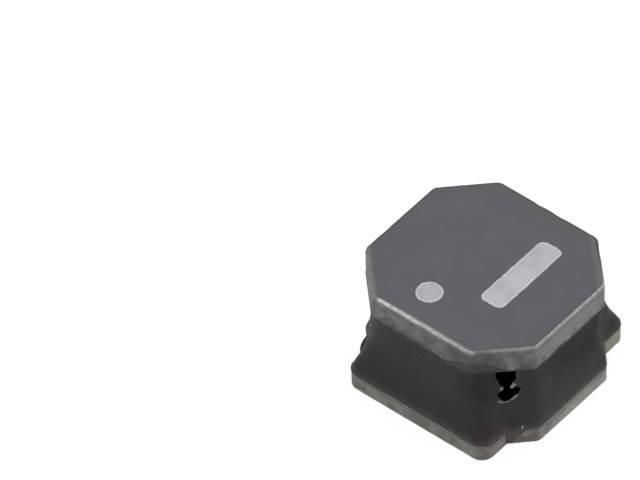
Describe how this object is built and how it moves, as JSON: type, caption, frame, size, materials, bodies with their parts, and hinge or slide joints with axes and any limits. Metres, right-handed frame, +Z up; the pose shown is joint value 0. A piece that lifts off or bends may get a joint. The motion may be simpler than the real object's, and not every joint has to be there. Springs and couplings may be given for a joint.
{
  "type": "surface mount choke",
  "caption": "Semi-shielded surface mount choke: an octagonal ferrite top flange over a wire winding potted in dark resin, on a notched base with plated terminals.",
  "frame": {"origin": "middle of the underside of the terminals, which rests on the board", "axes": "+Z up through the part, X across the two notched sides of the base, Y from the front terminal to the back one"},
  "size_m": [0.005, 0.005, 0.003],
  "materials": {
    "ferrite": "matt ground ferrite, dark bluish grey",
    "potting_resin": "matt resin filled with magnetic powder, near black",
    "enamelled_wire": "clear enamel over copper",
    "tin_plating": "satin tin plate",
    "solder": "bright solder",
    "marking_ink": "matt pale grey ink"
  },
  "bodies": {
    "root": {"drum_core": "ferrite", "winding": "enamelled_wire", "resin_fill": "potting_resin", "terminal_front": "tin_plating", "terminal_back": "tin_plating", "solder_front": "solder", "solder_back": "solder", "start_dot": "marking_ink", "bar_mark": "marking_ink"}
  },
  "joints": []
}
